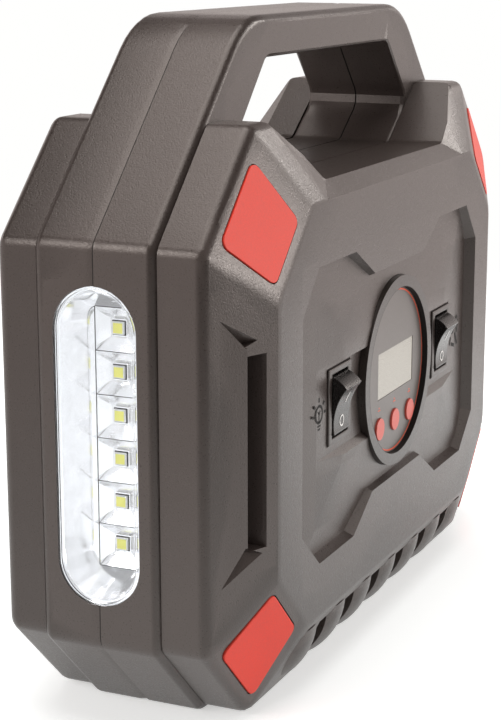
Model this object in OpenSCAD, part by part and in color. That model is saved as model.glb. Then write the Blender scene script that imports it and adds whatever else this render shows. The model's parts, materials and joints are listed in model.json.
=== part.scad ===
// Jump starter pack: clam-shell housing with a built-in carrying handle, side work lamp,
// round display, two rocker switches, battery, air compressor and outlets.
// Millimetres, +Z up, front face towards -Y, origin at the centre of the base.

/* [Housing] */
// width of the middle band across its sides
body_w = 342; // [300:1:380]
// height from the base to the top of the handle
body_h = 276.5; // [250:0.5:300]
// depth of each half of the middle band
band_d = 25.5; // [20:0.5:32]
// height of the lower end of the upright sides
side_z0 = 39; // [30:0.5:50]
// height of the upper end of the upright sides
side_z1 = 196; // [180:0.5:210]
// how far the two covers stand in from the band
cover_inset = 2.4; // [1:0.1:4]
// height of the covers' shoulders
ear_z = 237.5; // [225:0.5:250]
// front face plane, measured forward from the seam
face_y = 59; // [50:0.5:70]
// outer edge plane of the front bevel
edge_y = 44; // [38:0.5:50]
// rear face plane, measured back from the seam
rear_y = 57; // [50:0.5:70]
// outer edge plane of the rear bevel
rear_edge_y = 42; // [36:0.5:50]
// width of the bevel along each side of the covers
bevel_x = 36.1; // [25:0.1:45]
// height of the lower edge of the front face
face_z0 = 32; // [24:0.5:45]
// height of the upper edge of the front face
face_z1 = 205; // [195:0.5:208]
// moulded wall thickness
wall = 2.6; // [2:0.1:4]
// how far the hose fitting and the lead glands stand out of the rear face
fitting_out = 6.2; // [3:0.1:12]

/* [Handle] */
// half width of the hand opening's floor
hand_w = 73.5; // [60:0.5:85]
// height of the hand opening's floor
hand_z = 211; // [205:0.5:220]
// half width of the hand opening at its widest
hand_wide = 98.5; // [90:0.5:105]
// height where the hand opening is widest
hand_wide_z = 229; // [222:0.5:236]
// half width of the hand opening's top
hand_top = 70; // [60:0.5:80]
// outer radius of the handle's top corners
handle_r = 42; // [10:1:60]
// thickness of the grip, from its underside to the top of the handle
grip_h = 17.3; // [12:0.1:25]

/* [Display] */
// height of the display's centre
disp_z = 117.1; // [105:0.1:125]
// outer radius of the display ring
disp_r = 43.1; // [36:0.1:50]
// inner radius of the display ring
disp_in = 37.8; // [30:0.1:42]
// display ring's front plane
disp_y = 59.7; // [59:0.1:62]
// radius of a push button
button_r = 4.9; // [3:0.1:7]
// travel of a push button
button_travel = 1; // [0.5:0.1:2]

/* [Switches] */
// distance of each rocker switch from the centre line
switch_x = 65.4; // [55:0.1:75]
// height of the rocker switches
switch_z = 117.2; // [105:0.1:125]
// width of a rocker
rocker_w = 17; // [12:0.5:20]
// height of a rocker
rocker_h = 27; // [20:0.5:32]
// rocking angle between its two positions
rocker_turn = 30; // [10:1:30]

/* [Lamp] */
// half width of the lamp's lens
lamp_w = 17.7; // [12:0.1:22]
// height of the lower end of the lamp
lamp_z0 = 55.2; // [40:0.1:70]
// height of the upper end of the lamp
lamp_z1 = 180.4; // [160:0.1:190]
// distance between two lamp diodes
led_pitch = 17.3; // [12:0.1:22]
// edge length of a lamp diode
led_size = 5; // [3:0.5:6]

/* [Battery] */
// battery length
batt_l = 151; // [120:1:180]
// battery depth
batt_d = 65; // [50:1:75]
// battery height
batt_h = 94; // [80:1:110]

/* [Hidden] */
half_w = body_w / 2;
lamp_mid = (lamp_z0 + lamp_z1) / 2;
low_k = half_w - side_z0;
up_k = half_w + side_z1;
diag = sqrt(2);
cover_w = half_w - cover_inset;
cover_low_k = low_k - cover_inset * diag;
cover_up_k = up_k - cover_inset * diag;
face_w = cover_w - bevel_x;
hand_top_z = body_h - grip_h;
face_low_k = face_w - 61;
face_up_k = face_w + 173;

// unit vector along v
function unit(v) = v / norm(v);

// corners of an eight-sided outline: half width w, heights b and t, diagonals x-z = k and x+z = m
function octo(w, b, t, k, m) = [
    [w, w - k], [w, m - w], [m - t, t], [t - m, t],
    [-w, m - w], [-w, w - k], [-k - b, b], [k + b, b]
];

// inward unit normal of the edge from p to q on an anticlockwise outline
function edge_in(p, q) = [p[1] - q[1], q[0] - p[0]] / norm(q - p);

// outline p moved inwards by d
function inset(p, d) = [
    for (i = [0 : len(p) - 1])
        let (a = p[(i + len(p) - 1) % len(p)], b = p[i], c = p[(i + 1) % len(p)])
        let (m = edge_in(a, b), n = edge_in(b, c))
        b + d * (m + n) / (1 + m * n)
];

// outline p with corner i rounded to radius r or r[i] in n or n[i] steps
function pick(v, i) = is_list(v) ? v[i] : v;
function soft(p, rs, ns = 2) = [
    for (i = [0 : len(p) - 1])
        let (a = p[(i + len(p) - 1) % len(p)], b = p[i], c = p[(i + 1) % len(p)])
        let (m = edge_in(a, b), k = edge_in(b, c), r = pick(rs, i), n = pick(ns, i))
        let (turn = atan2(m[0] * k[1] - m[1] * k[0], m * k))
        let (s = sign(turn), o = b + s * r * (m + k) / (1 + m * k))
        let (start = atan2(-s * m[1], -s * m[0]))
        for (j = [0 : n])
            o + r * [cos(start + turn * j / n), sin(start + turn * j / n)]
];

// solid through outlines that lie in planes of constant y; each level is [y, outline]
module loft(levels) {
    n = len(levels[0][1]);
    last = len(levels) - 1;
    polyhedron(
        points = [for (l = levels) for (p = l[1]) [p[0], l[0], p[1]]],
        faces = concat(
            [[for (i = [n - 1 : -1 : 0]) i]],
            [[for (i = [0 : n - 1]) last * n + i]],
            [
                for (k = [0 : last - 1])
                    for (i = [0 : n - 1])
                        [k * n + i, k * n + (i + 1) % n, (k + 1) * n + (i + 1) % n, (k + 1) * n + i]
            ]
        ),
        convexity = 6
    );
}

// outline p extruded from y0 to y1
module slab(y0, y1, p) {
    translate([0, y1, 0])
        rotate([90, 0, 0])
            linear_extrude(y1 - y0)
                polygon(p);
}

// cylinder along y from y0 to y1 at x, z
module rod(x, z, y0, y1, r, fn = 32) {
    translate([x, y1, z])
        rotate([90, 0, 0])
            cylinder(h = y1 - y0, r = r, $fn = fn);
}

// box given by two opposite corners
module box(a, b) {
    translate(a)
        cube(b - a);
}

// copy on both sides of the centre line
module both_sides() {
    children();
    mirror([1, 0, 0])
        children();
}

// cross-section of a cover: [bevel fraction, distance forward of the seam]; 0 is the outer edge, 1 the face
bevel_angle = atan((face_y - edge_y) / bevel_x);
edge_r = 5;
edge_back = face_y - edge_y + edge_r * tan((90 - bevel_angle) / 2);
face_step = 0.033;
cover_steps = concat(
    [[1 + face_step, 0], [1 - face_step, face_step * (face_y - edge_y)]],
    [for (a = [3 : -1 : 0]) let (t = a * (90 - bevel_angle) / 3) [edge_r * (1 - cos(t)) / bevel_x, edge_back - edge_r * sin(t)]]
);
band_wall = 4;
notch_run = (hand_wide - hand_w) / (hand_wide_z - hand_z);
recess_depth = 0.25;
floor_slope = 0.11;
flange_y = face_y - 2;
plate_y = flange_y - 1;
seam_gap = 0.35;
band_round = 3.5;
hand_round = 2;

// outline of a cover at bevel fraction s, moved inwards by g
function cover_line(s, g) = octo(
    cover_w - s * bevel_x - g,
    cover_inset + s * (face_z0 - cover_inset) + g,
    ear_z - s * (ear_z - face_z1) - g,
    cover_low_k - s * (cover_low_k - face_low_k) - g * diag,
    cover_up_k - s * (cover_up_k - face_up_k) - g * diag
);

// outside of a cover with its front face at y = -f and back rim at the band
module cover_block(f) {
    loft(concat(
        [for (c = cover_steps) [-f + c[1], soft(cover_line(c[0], 0), 6 + 4 * c[0])]],
        [[-band_d, soft(cover_line(0, 0), 6)]]
    ));
}

// inside of a cover, open at the band
module cover_hollow(f) {
    loft([
        [-f + wall, soft(cover_line(1, wall), 6)],
        [-f + wall + face_y - edge_y, soft(cover_line(0, wall), 4)],
        [-band_d + 1, soft(cover_line(0, wall), 4)]
    ]);
}

// outline of the notch under the handle, s from 0 at the handle to 1 at the face, widened by g
function notch_line(s, g) =
    let (w = hand_w + 12.5 * s + 0.4 * g, z = hand_z - 6 * s - g, top = body_h)
    [[-w, z], [w, z], [w + (top - z) * notch_run, top], [-w - (top - z) * notch_run, top]];

// notch cut through a cover whose face is at y = -f
module notch(f, g = 0) {
    start = f - 15.5;
    far = 1 + 1 / (f - start);
    loft([
        [-f - 1, notch_line(far, g)],
        [-start, notch_line(0, g)],
        [1, notch_line(0, g)]
    ]);
}

// right half of the bow-tie outline of the recess
bow_half = [
    [31.2, 69], [53.5, 55.1], [face_w - 40.5, 55.1], [face_w - 21.8, 71.8],
    [face_w - 21.8, 161.2], [face_w - 37.8, 179.4], [54, 179.4], [31.2, 166.6]
];
// whole outline of the recess, moved outwards by g
function bow(g) = inset(concat(bow_half, [for (i = [len(bow_half) - 1 : -1 : 0]) [-bow_half[i][0], bow_half[i][1]]]), -g);

// raised middle of the recess floor, which falls away to all four sides
module recess_floor() {
    mid = box_line(-64, 64, 95, 144);
    drop = 10;
    loft([
        [-face_y + recess_depth, mid],
        [-face_y + recess_depth + drop, inset(mid, -drop / floor_slope)]
    ]);
}

// bow-tie recess with drafted walls
module recess() {
    draft = 0.45;
    difference() {
        loft([
            [-face_y - 1, bow(draft)],
            [-face_y + 8, bow(-8 * draft)]
        ]);
        recess_floor();
    }
}

// frame on a corner facet: local x along the edge, local y towards the corner, local z outwards
facet_tilt = 19.6;
facet_y = face_y - 7.3;
upper_x = face_w + 1;
upper_z = 200.4;
lower_x = face_w + 2.3;
lower_z = 34.9;
module on_upper() {
    translate([upper_x, -facet_y, upper_z])
        rotate([0, 45, 0])
            rotate([90 - facet_tilt, 0, 0])
                children();
}
module on_lower() {
    translate([lower_x, -facet_y, lower_z])
        rotate([0, 135, 0])
            rotate([90 - facet_tilt, 0, 0])
                children();
}

// insert outline widened by g
function insert_line(g) = soft(inset([[-15.4, -16.2], [15.4, -16.2], [19.8, 16.2], [-19.8, 16.2]], -g), 3.5 + g, 4);

// coloured corner insert
insert_rise = 0.5;
insert_sink = 1.2;
module insert() {
    translate([0, 0, -insert_sink])
        linear_extrude(insert_sink + insert_rise)
            polygon(insert_line(0));
}

// pocket that an insert sits in
module insert_pocket() {
    translate([0, 0, -insert_sink])
        linear_extrude(insert_sink + 8)
            polygon(insert_line(0.5));
}

// rectangle from x0 to x1 and z0 to z1
function box_line(x0, x1, z0, z1) = [[x0, z0], [x1, z0], [x1, z1], [x0, z1]];

// scoop on the side bevel: a pad that rises to a lip, with a slot behind the lip
tail_x = cover_w - 7.4;
tail_y = edge_y + (cover_w - tail_x) * (face_y - edge_y) / bevel_x;
tail_low = 65.3;
tail_high = 169.5;
lip_x = cover_w - 19;
lip_y = edge_y + 9;
lip_low = 79.1;
lip_high = 157.6;
slot_x = cover_w - 29.4;
slot_low = 77.2;
slot_high = 154;
slot_y = edge_y + 4;
lip_t = 1.2;
pad_back = edge_y + 1;
module scoop_pad() {
    back = [[tail_x, tail_low], [tail_x, tail_high], [lip_x, lip_high], [lip_x, lip_low]];
    front = [tail_y, tail_y, lip_y, lip_y];
    polyhedron(
        points = concat(
            [for (i = [0 : 3]) [back[i][0], -front[i], back[i][1]]],
            [for (i = [0 : 3]) [back[i][0], -pad_back, back[i][1]]]
        ),
        faces = [[3, 2, 1, 0], [4, 5, 6, 7], [0, 1, 5, 4], [1, 2, 6, 5], [2, 3, 7, 6], [3, 0, 4, 7]]
    );
}
module scoop_slot(g) {
    box([slot_x - g, -face_y, slot_low - g], [lip_x - lip_t + g, -slot_y + g, slot_high + g]);
}
// narrow valley between an end of the pad and the bevel; a is its tail, b its end at the lip, c its end at the slot
module scoop_valley(a, b, c) {
    d = [lip_x - 2.5, -slot_y - 1.3, (b[2] + c[2]) / 2];
    grow = 1.4;
    up = c[2] > (tail_low + tail_high) / 2;
    polyhedron(
        points = [d, d + grow * (a - d), d + grow * (b - d), d + grow * (c - d)],
        faces = up ? [[0, 2, 1], [0, 3, 2], [0, 1, 3], [1, 2, 3]] : [[0, 1, 2], [0, 2, 3], [0, 3, 1], [1, 3, 2]]
    );
}
function on_bevel(x, z) = [x, -edge_y - (cover_w - x) * (face_y - edge_y) / bevel_x, z];
module scoop_valleys() {
    scoop_valley(on_bevel(tail_x, tail_low), on_bevel(lip_x, lip_low), on_bevel(slot_x + 2, slot_low - 2));
    scoop_valley(on_bevel(tail_x, tail_high), on_bevel(lip_x, lip_high), on_bevel(slot_x + 4.3, slot_high + 5.6));
}

// recess under the front face with a row of rounded ribs in it
rib_pitch = 32;
rib_count = 7;
rib_w = 21.5;
rib_r = 28;
rib_y = 29.6;
rib_z = 28.8;
rib_end = 5.5;
recess_w = rib_pitch * (rib_count - 1) / 2 - rib_w / 2 - 0.5;
recess_top = 27;
// space of the recess from x0 to x1, its top and floor moved into the wall by g
module rib_room(x0, x1, g) {
    translate([x0, 0, 0])
        rotate([90, 0, 90])
            linear_extrude(x1 - x0)
                polygon([
                    [-62, recess_top + g], [-58, recess_top + g], [-51.5 + g, recess_top - 0.5 + g],
                    [-46.5 + g, 17], [-43 + g, 8], [-40.5 + g, 0], [-62, 0]
                ]);
}
module rib(x) {
    last = rib_pitch * (rib_count - 1) / 2;
    intersection() {
        translate([x, -rib_y, rib_z])
            sphere(r = rib_r, $fn = 96);
        rib_room(x - rib_w / 2 - (x == -last ? rib_end : 0), x + rib_w / 2 + (x == last ? rib_end : 0), wall / 2);
    }
}

boss_r = 6;
boss_x = half_w - 14;
boss_low = 44;
boss_high = 190;
bolt_r = 2;
bolt_gap = 0.1;
bolt_tip = face_y - 19;
bolt_head_y = rear_y - 20;
module at_bolts() {
    for (sx = [-1, 1])
        for (z = [boss_low, boss_high])
            translate([sx * boss_x, 0, z])
                children();
}

// pill shape in the plane of the left side, from x0 to x1, half width r
module pill(x0, x1, r) {
    ends = lamp_w;
    for (z = [lamp_z0 + ends, lamp_z1 - ends])
        translate([x0, 0, z])
            rotate([0, 90, 0])
                cylinder(h = x1 - x0, r = r, $fn = 48);
    box([x0, -r, lamp_z0 + ends], [x1, r, lamp_z1 - ends]);
}

// port panel opening on the right side
panel_w = 17;
panel_z0 = 70;
panel_z1 = 166;
panel_x = half_w - 3;
flange = 3;
clear = 0.3;

// front half of the middle band; the outside falls away by d over the last run mm before the seam
module band_half(run, d) {
    outer = octo(half_w, 0, body_h, low_k, up_k);
    radii = [7, 7, handle_r, handle_r, 7, 7, 7, 7];
    steps = [3, 3, 6, 6, 3, 3, 3, 3];
    hand = [
        [hand_w, hand_z], [hand_wide, hand_wide_z], [hand_top, hand_top_z],
        [-hand_top, hand_top_z], [-hand_wide, hand_wide_z], [-hand_w, hand_z]
    ];
    difference() {
        loft(concat(
            [
                for (a = [0 : 22.5 : 90])
                    [-band_d + band_round * (1 - cos(a)), soft(inset(outer, band_round * (1 - sin(a))), radii, steps)]
            ],
            [[-run, soft(outer, radii, steps)], [0, soft(inset(outer, d), radii, steps)]]
        ));
        // hand opening with eased edges
        loft([
            [-band_d - 1, soft(inset(hand, -hand_round - 1), 7, 3)],
            [-band_d + 0.6, soft(inset(hand, -0.6), 7, 3)],
            [-band_d + hand_round, soft(hand, 7, 3)],
            [-seam_gap, soft(hand, 7, 3)],
            [1, soft(inset(hand, -seam_gap - 1), 7, 3)]
        ]);
        // room inside the body
        slab(-band_d - 1, 1, octo(
            half_w - band_wall, band_wall, hand_z - band_wall,
            low_k - band_wall * diag, up_k - band_wall * diag
        ));
        // hollow of the handle
        difference() {
            slab(-band_d + band_wall, 1, soft(inset(outer, band_wall), radii, steps));
            slab(-band_d, 1, inset(hand, -band_wall));
        }
        // openings for the lamp and the port panel
        pill(-half_w - 1, -half_w + band_wall + 1, lamp_w);
        box([half_w - band_wall - 1, -panel_w - clear, panel_z0 - clear], [half_w + 1, panel_w + clear, panel_z1 + clear]);
    }
}

// bosses that the long case bolts pass through
module band_bosses(y0, y1) {
    difference() {
        at_bolts() {
            rod(0, 0, y0, y1, boss_r);
        }
        at_bolts()
            rod(0, 0, y0 - 1, y1 + 1, bolt_r + bolt_gap);
    }
    for (s = [-1, 1])
        for (z = [boss_low, boss_high])
            box([min(s * (boss_x + 4), s * (half_w - 3)), y0, z - 1.5], [max(s * (boss_x + 4), s * (half_w - 3)), y1, z + 1.5]);
}

module front_band() {
    color([0.12, 0.11, 0.11]) {
        band_half(seam_gap, seam_gap);
        band_bosses(-band_d, 0);
    }
}

module rear_band() {
    color([0.12, 0.11, 0.11]) {
        mirror([0, 1, 0])
            band_half(3.6, 0.6);
        band_bosses(0, band_d);
    }
}

// rectangular block centred on a switch, half sizes w and h, from y0 to y1
module switch_block(w, h, y0, y1) {
    box([switch_x - w, y0, switch_z - h], [switch_x + w, y1, switch_z + h]);
}

sw_w = 11;
sw_h = 15;
flange_w = 12.4;
flange_h = 16.4;
flange_t = 1.4;
spigot_r = 40.2;
ring_seat = plate_y - 0.2;
room_y = face_y - 19;

// everything cut into the front face
module face_cuts() {
    recess();
    both_sides() {
        // flat plate round a switch, with sloping edges
        loft([
            [-face_y - 1, box_line(switch_x - 31.4, switch_x + 31.1, switch_z - 23.7, switch_z + 19.3)],
            [-plate_y, box_line(switch_x - 28.9, switch_x + 30.6, switch_z - 19.7, switch_z + 17.8)]
        ]);
        switch_block(flange_w + clear, flange_h + clear, -face_y, -flange_y + flange_t);
        switch_block(sw_w + clear, sw_h + clear, -face_y, -room_y);
        on_upper()
            insert_pocket();
        on_lower()
            insert_pocket();
        scoop_slot(0);
        scoop_valleys();
    }
    rod(0, disp_z, -face_y - 1, -ring_seat, disp_r + 0.2, 96);
    rod(0, disp_z, -face_y - 1, -room_y, spigot_r + 0.2, 96);
    rib_room(-recess_w, recess_w, 0);
}

module front_cover() {
    skin = face_y - 9;
    color([0.16, 0.15, 0.14]) {
        difference() {
            union() {
                difference() {
                    cover_block(face_y);
                    difference() {
                        cover_hollow(face_y);
                        notch(face_y, wall);
                        slab(-face_y, -skin, bow(wall));
                        both_sides()
                            scoop_slot(wall);
                        rib_room(-recess_w - wall, recess_w + wall, wall);
                    }
                }
                intersection() {
                    cover_block(face_y);
                    at_bolts()
                        rod(0, 0, -face_y, -band_d, boss_r);
                }
                both_sides()
                    scoop_pad();
            }
            notch(face_y);
            face_cuts();
            at_bolts()
                rod(0, 0, -bolt_tip - 1, 0, bolt_r + bolt_gap);
        }
        for (i = [0 : rib_count - 1])
            rib((i - (rib_count - 1) / 2) * rib_pitch);
    }
}

gland_x = 60;
gland_z = 60;
gland_r = 8;
hose_x = -70;
hose_z = 150;
rear_reach = rear_y + fitting_out;

module rear_cover() {
    color([0.16, 0.15, 0.14])
        mirror([0, 1, 0])
            difference() {
                union() {
                    difference() {
                        cover_block(rear_y);
                        difference() {
                            cover_hollow(rear_y);
                            notch(rear_y, wall);
                        }
                    }
                    intersection() {
                        cover_block(rear_y);
                        at_bolts()
                            rod(0, 0, -rear_y, -band_d, boss_r);
                    }
                    // standoffs for the circuit board and the compressor bracket
                    for (z = [70, 160])
                        for (x = [board_x0 + 6, board_x1 - 6])
                            rod(x, z, -rear_y + 1, -board_y, 3.5);
                    for (z = [128, 182])
                        for (x = [-48, 62])
                            rod(x, z, -rear_y + 1, -bracket_y, 4.5);
                }
                notch(rear_y);
                at_bolts() {
                    rod(0, 0, -rear_y - 1, 0, bolt_r + bolt_gap);
                    rod(0, 0, -rear_y - 1, -bolt_head_y + 3, 4.2);
                }
                for (s = [-1, 1])
                    rod(s * gland_x, gland_z, -rear_y - 1, -rear_y + 17, gland_r + 0.1);
                rod(hose_x, hose_z, -rear_y - 1, -rear_y + 17, 6.1);
            }
}

// long bolts that clamp the four shells together
module case_bolts() {
    color([0.55, 0.55, 0.57])
        at_bolts() {
            difference() {
                rod(0, 0, bolt_head_y - 3, bolt_head_y, 3.6);
                rod(0, 0, bolt_head_y - 1.5, bolt_head_y + 1, 1.6, 6);
            }
            rod(0, 0, -bolt_tip, bolt_head_y - 2.5, bolt_r);
        }
}

module insert_upper_left() {
    color([0.8, 0.08, 0.05])
        mirror([1, 0, 0])
            on_upper()
                insert();
}
module insert_upper_right() {
    color([0.8, 0.08, 0.05])
        on_upper()
            insert();
}
module insert_lower_left() {
    color([0.8, 0.08, 0.05])
        mirror([1, 0, 0])
            on_lower()
                insert();
}
module insert_lower_right() {
    color([0.8, 0.08, 0.05])
        on_lower()
            insert();
}

// work lamp in the left side
lens_t = 2;
lens_out = 0;
lens_x = -half_w - lens_out;
rim_x = lens_x + lens_t;
board_face = lens_x + 20;
floor_w = 7;
rim_w = 15.6;
module lamp_lens() {
    color([0.9, 0.93, 0.95, 0.35])
        difference() {
            pill(lens_x, rim_x, lamp_w - 0.2);
            pill(lens_x - 1, lens_x + 0.5, lamp_w - 4);
        }
}

// outline of the reflector's hollow, half width w, end heights pulled in by e
function trough(w, e) =
    let (lo = lamp_z0 + e, hi = lamp_z1 - e, c = w * 0.45)
    [[-w, lo + c], [-c, lo], [c, lo], [w, lo + c], [w, hi - c], [c, hi], [-c, hi], [-w, hi - c]];

module lamp_reflector() {
    color([0.85, 0.86, 0.88])
        difference() {
            union() {
                pill(rim_x, board_face, lamp_w - 0.3);
                pill(-half_w + band_wall, -half_w + band_wall + 2, lamp_w + 3);
            }
            rotate([0, 0, 90])
                loft([
                    [-board_face - 1, trough(floor_w - 0.5, 9.5)],
                    [-rim_x + 1, trough(rim_w + 0.5, 1.6)]
                ]);
        }
    // partitions between the diodes
    color([0.85, 0.86, 0.88])
        for (i = [-2 : 2])
            translate([board_face, 0, lamp_mid + i * led_pitch])
                rotate([90, 0, 0])
                    translate([0, 0, -floor_w - 0.6])
                        linear_extrude(2 * floor_w + 1.2)
                            polygon([[0, -1.8], [0, 1.8], [-4.5, 0.4], [-4.5, -0.4]]);
}

led_t = 1.4;
module lamp_board() {
    color([0.92, 0.92, 0.9])
        box([board_face, -11.5, lamp_mid - 56], [board_face + 1.6, 11.5, lamp_mid + 56]);
}

module lamp_leds() {
    color([0.95, 0.85, 0.35])
        for (i = [0 : 5])
            translate([board_face - led_t / 2, 0, lamp_mid + (i - 2.5) * led_pitch])
                cube([led_t, led_size, led_size], center = true);
}

// round display
disc_y = disp_y - 2.5;
disc_t = 2;
disc_ledge = 1;
board_front = disp_y - 11.7;
module display_bezel() {
    color([0.2, 0.19, 0.18])
        difference() {
            union() {
                rod(0, disp_z, -disp_y, -ring_seat, disp_r, 96);
                rod(0, disp_z, -ring_seat - 0.1, -board_front, spigot_r, 96);
            }
            rod(0, disp_z, -disp_y - 1, -disc_y + disc_t, disp_in, 96);
            rod(0, disp_z, -disc_y, -board_front + 1, disp_in - disc_ledge, 96);
        }
}

lcd_w = 22.2;
lcd_h = 10.3;
lcd_x = 1.2;
lcd_z = 117.7;
button_z = 94;
button_xs = [-19.5, 0, 19.5];
module display_disc() {
    color([0.45, 0.43, 0.42])
        difference() {
            rod(0, disp_z, -disc_y, -disc_y + disc_t, disp_in - 0.2, 96);
            box([lcd_x - lcd_w - 0.1, -disc_y - 1, lcd_z - lcd_h - 0.1], [lcd_x + lcd_w + 0.1, -disc_y + disc_t + 1, lcd_z + lcd_h + 0.1]);
            for (x = button_xs)
                rod(x, button_z, -disc_y - 1, -disc_y + disc_t + 1, button_r + clear, 32);
        }
}

module display_lcd() {
    color([0.75, 0.75, 0.68]) {
        box([lcd_x - lcd_w, -disc_y + 0.2, lcd_z - lcd_h], [lcd_x + lcd_w, -disc_y + disc_t, lcd_z + lcd_h]);
        box([lcd_x - lcd_w - 2, -disc_y + disc_t, lcd_z - lcd_h - 2], [lcd_x + lcd_w + 2, -board_front, lcd_z + lcd_h + 2]);
    }
}

module display_board() {
    color([0.05, 0.25, 0.12])
        rod(0, disp_z, -board_front, -board_front + 1.6, spigot_r - 1, 64);
}

module button_switches() {
    color([0.1, 0.1, 0.1])
        for (x = button_xs)
            rod(x, button_z, -board_front - 4, -board_front, 3, 24);
}

// push button at x: head, flange behind the disc and stem
button_rise = 0.9;
flange_back = disc_y - 3.2;
module button(x) {
    rod(x, button_z, -disc_y - button_rise, -flange_back, button_r, 32);
    rod(x, button_z, -disc_y + disc_t, -flange_back, button_r + 1.2, 32);
    rod(x, button_z, -flange_back, -board_front - 4 - button_travel - clear, 1.5, 24);
}
module button_left() {
    color([0.85, 0.2, 0.1])
        button(button_xs[0]);
}
module button_middle() {
    color([0.85, 0.2, 0.1])
        button(button_xs[1]);
}
module button_right() {
    color([0.85, 0.2, 0.1])
        button(button_xs[2]);
}

// rocker switch: body in the front cover, rocker on two pins
pivot_y = flange_y - 4.5;
rocker_r = 13.3;
tip_angle = 51.5;
middle_r = 6;
pin_r = 1.5;
pin_gap = 0.05;
body_back = flange_y - 23;
module switch_body() {
    difference() {
        union() {
            switch_block(flange_w, flange_h, -flange_y, -flange_y + flange_t);
            switch_block(sw_w, sw_h, -flange_y, -body_back);
        }
        translate([switch_x - rocker_w / 2 - clear, -pivot_y, switch_z])
            rotate([0, 90, 0])
                cylinder(h = rocker_w + 2 * clear, r = rocker_r + clear, $fn = 64);
        switch_block(rocker_w / 2 + clear, rocker_r + clear, -flange_y - 1, -pivot_y);
        translate([switch_x - sw_w + 0.6, -pivot_y, switch_z])
            rotate([0, 90, 0])
                cylinder(h = 2 * sw_w - 1.2, r = pin_r + pin_gap, $fn = 32);
    }
}

// rocker at its rest position, lower half pressed in
module rocker() {
    tip = [rocker_r * cos(tip_angle), rocker_r * sin(tip_angle)];
    front_r = (pow(tip[1], 2) + pow(tip[0] - middle_r, 2)) / (2 * (tip[0] - middle_r));
    translate([switch_x, -pivot_y, switch_z])
        rotate([rocker_turn / 2, 0, 0]) {
            difference() {
                translate([-rocker_w / 2, 0, 0])
                    rotate([0, 90, 0])
                        cylinder(h = rocker_w, r = rocker_r, $fn = 64);
                translate([-rocker_w / 2 - 1, -middle_r - front_r, 0])
                    rotate([0, 90, 0])
                        cylinder(h = rocker_w + 2, r = front_r, $fn = 160);
                translate([-rocker_w / 2 - 1, 3, -rocker_r - 1])
                    cube([rocker_w + 2, rocker_r, 2 * rocker_r + 2]);
            }
            translate([-sw_w + 0.8, 0, 0])
                rotate([0, 90, 0])
                    cylinder(h = 2 * sw_w - 1.6, r = pin_r, $fn = 32);
        }
}

module lamp_switch_body() {
    color([0.07, 0.07, 0.07])
        mirror([1, 0, 0])
            switch_body();
}
module compressor_switch_body() {
    color([0.07, 0.07, 0.07])
        switch_body();
}
module lamp_rocker() {
    color([0.05, 0.05, 0.05])
        mirror([1, 0, 0])
            rocker();
}
module compressor_rocker() {
    color([0.05, 0.05, 0.05])
        rocker();
}

// blade terminals on the backs of the two switches
module switch_blades() {
    color([0.7, 0.7, 0.72])
        both_sides()
            for (z = [-9, 0, 9])
                box([switch_x - 2.4, -body_back, switch_z + z - 0.4], [switch_x + 2.4, -body_back + 8, switch_z + z + 0.4]);
}

// battery on its tray, held by a strap
tray_z = 5.4;
tray_t = 2.6;
batt_y = 3;
batt_z = tray_z + tray_t;
batt_top = batt_z + batt_h;
strap_w = 20;
strap_t = 1.2;
module battery_tray() {
    color([0.2, 0.2, 0.21]) {
        box([-batt_l / 2 - 14, batt_y - batt_d / 2, tray_z], [batt_l / 2 + 14, batt_y + batt_d / 2, batt_z]);
        for (x = [-batt_l / 2 - 8, -25, 25, batt_l / 2 + 8])
            box([x - 5, -20, band_wall], [x + 5, 20, tray_z + 0.1]);
    }
}
module battery() {
    color([0.15, 0.16, 0.2])
        box([-batt_l / 2, batt_y - batt_d / 2, batt_z], [batt_l / 2, batt_y + batt_d / 2, batt_top]);
}
module battery_strap() {
    color([0.6, 0.6, 0.62]) {
        box([-batt_l / 2 - strap_t, batt_y - strap_w / 2, batt_top], [batt_l / 2 + strap_t, batt_y + strap_w / 2, batt_top + strap_t]);
        for (s = [-1, 1]) {
            box([min(s * batt_l / 2, s * (batt_l / 2 + strap_t)), batt_y - strap_w / 2, batt_z],
                [max(s * batt_l / 2, s * (batt_l / 2 + strap_t)), batt_y + strap_w / 2, batt_top + strap_t / 2]);
            box([min(s * batt_l / 2, s * (batt_l / 2 + 12)), batt_y - strap_w / 2, batt_z],
                [max(s * batt_l / 2, s * (batt_l / 2 + 12)), batt_y + strap_w / 2, batt_z + strap_t]);
        }
    }
}
module battery_terminals() {
    color([0.75, 0.75, 0.76])
        for (s = [-1, 1]) {
            translate([s * 62, batt_y + 20, batt_top])
                cylinder(h = 7, r = 5, $fn = 32);
        }
}

// charging and lamp circuit board behind the right-hand side of the cover
board_x1 = half_w - 41;
board_x0 = board_x1 - 54;
board_y = rear_y - 11;
board_t = 1.6;
module main_board() {
    color([0.05, 0.25, 0.12])
        box([board_x0, board_y - board_t, 62], [board_x1, board_y, 168]);
}
module board_parts() {
    color([0.1, 0.1, 0.12]) {
        for (z = [80, 104])
            rod(board_x0 + 16, z, board_y - board_t - 20, board_y - board_t, 8, 32);
        box([board_x0 + 6, board_y - board_t - 15, 122], [board_x0 + 34, board_y - board_t, 150]);
        box([board_x1 - 20, board_y - board_t - 6, 70], [board_x1 - 6, board_y - board_t, 100]);
    }
}

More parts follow.
